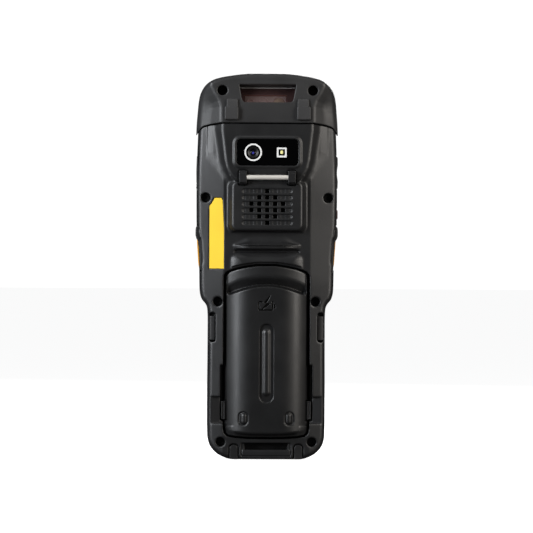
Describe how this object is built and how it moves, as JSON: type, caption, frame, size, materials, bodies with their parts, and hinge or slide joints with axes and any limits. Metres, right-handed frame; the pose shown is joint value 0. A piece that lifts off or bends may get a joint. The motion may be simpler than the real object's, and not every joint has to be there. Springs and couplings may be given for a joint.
{
  "type": "portable barcode data terminal",
  "caption": "Rugged handheld barcode data terminal with a scanning head, rear camera, loudspeaker grille, removable battery grip, side triggers, front display and keypad.",
  "frame": {"origin": "centre of the bounding box at the foot end, where the terminal stands", "axes": "+Z from the foot to the scanning head, +Y out of the back with the battery, -Y out of the display and keypad side, +X to the right seen from the display side"},
  "size_m": [0.0742, 0.031, 0.2004],
  "materials": {
    "housing": "fine spark texture",
    "cap": "soft matt",
    "rubber": "matt",
    "trim": "satin",
    "screw": "black oxide",
    "steel": "satin",
    "black_glass": "polished",
    "red_window": "polished, tinted",
    "engine": "matt",
    "lens": "coated",
    "led": "phosphor",
    "label": "printed film",
    "key": "satin keycap",
    "scan_key": "satin keycap",
    "power": "satin keycap",
    "board": "solder mask",
    "display": "polished",
    "speaker": "matt",
    "cell": "shrink film",
    "gold": "plated",
    "tin": "stamped"
  },
  "bodies": {
    "terminal": {"front_housing": "housing", "rear_housing": "housing", "top_cap": "cap", "trim_band": "trim", "housing_gasket": "rubber", "housing_screws": "screw", "cap_screws": "screw", "cap_bumpers": "cap", "scan_window": "red_window", "scan_engine": "engine", "camera_window": "black_glass", "camera_module": "lens", "flash_led": "led", "strap_bar": "steel", "strap_lugs": "housing", "label_plate": "label", "loudspeaker": "speaker", "speaker_mesh": "speaker", "display_window": "black_glass", "display_panel": "display", "main_board": "board", "keypad_board": "board", "battery_contacts": "gold", "card_holder": "tin", "dock_connector": "speaker", "grip_inserts": "cap"},
    "battery": {"battery_case": "housing", "battery_tray": "housing", "battery_cell": "cell", "battery_terminals": "gold"},
    "latch_left": {"battery_latch_left": "cap"},
    "latch_right": {"battery_latch_right": "cap"},
    "trigger_l": {"trigger_left": "rubber"},
    "trigger_r": {"trigger_right": "rubber"},
    "rocker": {"volume_rocker": "rubber"},
    "power": {"power_key": "power"},
    "port_flap": {"port_cover": "rubber"},
    "cap_soft_1": {"key_soft_1": "key"},
    "cap_soft_2": {"key_soft_2": "key"},
    "cap_soft_3": {"key_soft_3": "key"},
    "cap_soft_4": {"key_soft_4": "key"},
    "cap_back": {"key_back": "key"},
    "cap_scan": {"key_scan": "scan_key"},
    "cap_enter": {"key_enter": "key"},
    "cap_1": {"key_1": "key"},
    "cap_2": {"key_2": "key"},
    "cap_3": {"key_3": "key"},
    "cap_4": {"key_4": "key"},
    "cap_5": {"key_5": "key"},
    "cap_6": {"key_6": "key"},
    "cap_7": {"key_7": "key"},
    "cap_8": {"key_8": "key"},
    "cap_9": {"key_9": "key"},
    "cap_0": {"key_0": "key"},
    "cap_star": {"key_star": "key"},
    "cap_hash": {"key_hash": "key"},
    "cap_up": {"key_up": "key"},
    "cap_down": {"key_down": "key"},
    "cap_delete": {"key_delete": "key"},
    "cap_shift": {"key_shift": "key"}
  },
  "joints": [
    {"name": "battery_lift_off", "type": "slide", "parent": "terminal", "child": "battery", "axis": [0, 1, 0], "range_m": [0, 0.03]},
    {"name": "battery_latch_left_squeeze", "type": "slide", "parent": "battery", "child": "latch_left", "axis": [1, 0, 0], "range_m": [0, 0.001], "stiffness_N_per_m": 800},
    {"name": "battery_latch_right_squeeze", "type": "slide", "parent": "battery", "child": "latch_right", "axis": [-1, 0, 0], "range_m": [0, 0.001], "stiffness_N_per_m": 800},
    {"name": "flap_hinge", "type": "hinge", "parent": "terminal", "child": "port_flap", "pos_m": [0.0361, 0.001, 0.1413], "axis": [0, 1, 0], "range_deg": [0, 100]},
    {"name": "side_trigger_left_press", "type": "slide", "parent": "terminal", "child": "trigger_l", "axis": [1, 0, 0], "range_m": [0, 0.0008], "stiffness_N_per_m": 800},
    {"name": "side_trigger_right_press", "type": "slide", "parent": "terminal", "child": "trigger_r", "axis": [-1, 0, 0], "range_m": [0, 0.0008], "stiffness_N_per_m": 800},
    {"name": "volume_rock", "type": "hinge", "parent": "terminal", "child": "rocker", "pos_m": [-0.0349, 0.0008, 0.1492], "axis": [0, 1, 0], "range_deg": [-2.5, 2.5], "stiffness_Nm_per_rad": 0.05},
    {"name": "power_press", "type": "slide", "parent": "terminal", "child": "power", "axis": [1, 0, 0], "range_m": [0, 0.0006], "stiffness_N_per_m": 800},
    {"name": "key_soft_1_press", "type": "slide", "parent": "terminal", "child": "cap_soft_1", "axis": [0, 1, 0], "range_m": [0, 0.0008], "stiffness_N_per_m": 800},
    {"name": "key_soft_2_press", "type": "slide", "parent": "terminal", "child": "cap_soft_2", "axis": [0, 1, 0], "range_m": [0, 0.0008], "stiffness_N_per_m": 800},
    {"name": "key_soft_3_press", "type": "slide", "parent": "terminal", "child": "cap_soft_3", "axis": [0, 1, 0], "range_m": [0, 0.0008], "stiffness_N_per_m": 800},
    {"name": "key_soft_4_press", "type": "slide", "parent": "terminal", "child": "cap_soft_4", "axis": [0, 1, 0], "range_m": [0, 0.0008], "stiffness_N_per_m": 800},
    {"name": "key_back_press", "type": "slide", "parent": "terminal", "child": "cap_back", "axis": [0, 1, 0], "range_m": [0, 0.0008], "stiffness_N_per_m": 800},
    {"name": "key_scan_press", "type": "slide", "parent": "terminal", "child": "cap_scan", "axis": [0, 1, 0], "range_m": [0, 0.0008], "stiffness_N_per_m": 800},
    {"name": "key_enter_press", "type": "slide", "parent": "terminal", "child": "cap_enter", "axis": [0, 1, 0], "range_m": [0, 0.0008], "stiffness_N_per_m": 800},
    {"name": "key_1_press", "type": "slide", "parent": "terminal", "child": "cap_1", "axis": [0, 1, 0], "range_m": [0, 0.0008], "stiffness_N_per_m": 800},
    {"name": "key_2_press", "type": "slide", "parent": "terminal", "child": "cap_2", "axis": [0, 1, 0], "range_m": [0, 0.0008], "stiffness_N_per_m": 800},
    {"name": "key_3_press", "type": "slide", "parent": "terminal", "child": "cap_3", "axis": [0, 1, 0], "range_m": [0, 0.0008], "stiffness_N_per_m": 800},
    {"name": "key_4_press", "type": "slide", "parent": "terminal", "child": "cap_4", "axis": [0, 1, 0], "range_m": [0, 0.0008], "stiffness_N_per_m": 800},
    {"name": "key_5_press", "type": "slide", "parent": "terminal", "child": "cap_5", "axis": [0, 1, 0], "range_m": [0, 0.0008], "stiffness_N_per_m": 800},
    {"name": "key_6_press", "type": "slide", "parent": "terminal", "child": "cap_6", "axis": [0, 1, 0], "range_m": [0, 0.0008], "stiffness_N_per_m": 800},
    {"name": "key_7_press", "type": "slide", "parent": "terminal", "child": "cap_7", "axis": [0, 1, 0], "range_m": [0, 0.0008], "stiffness_N_per_m": 800},
    {"name": "key_8_press", "type": "slide", "parent": "terminal", "child": "cap_8", "axis": [0, 1, 0], "range_m": [0, 0.0008], "stiffness_N_per_m": 800},
    {"name": "key_9_press", "type": "slide", "parent": "terminal", "child": "cap_9", "axis": [0, 1, 0], "range_m": [0, 0.0008], "stiffness_N_per_m": 800},
    {"name": "key_0_press", "type": "slide", "parent": "terminal", "child": "cap_0", "axis": [0, 1, 0], "range_m": [0, 0.0008], "stiffness_N_per_m": 800},
    {"name": "key_star_press", "type": "slide", "parent": "terminal", "child": "cap_star", "axis": [0, 1, 0], "range_m": [0, 0.0008], "stiffness_N_per_m": 800},
    {"name": "key_hash_press", "type": "slide", "parent": "terminal", "child": "cap_hash", "axis": [0, 1, 0], "range_m": [0, 0.0008], "stiffness_N_per_m": 800},
    {"name": "key_up_press", "type": "slide", "parent": "terminal", "child": "cap_up", "axis": [0, 1, 0], "range_m": [0, 0.0008], "stiffness_N_per_m": 800},
    {"name": "key_down_press", "type": "slide", "parent": "terminal", "child": "cap_down", "axis": [0, 1, 0], "range_m": [0, 0.0008], "stiffness_N_per_m": 800},
    {"name": "key_delete_press", "type": "slide", "parent": "terminal", "child": "cap_delete", "axis": [0, 1, 0], "range_m": [0, 0.0008], "stiffness_N_per_m": 800},
    {"name": "key_shift_press", "type": "slide", "parent": "terminal", "child": "cap_shift", "axis": [0, 1, 0], "range_m": [0, 0.0008], "stiffness_N_per_m": 800}
  ]
}
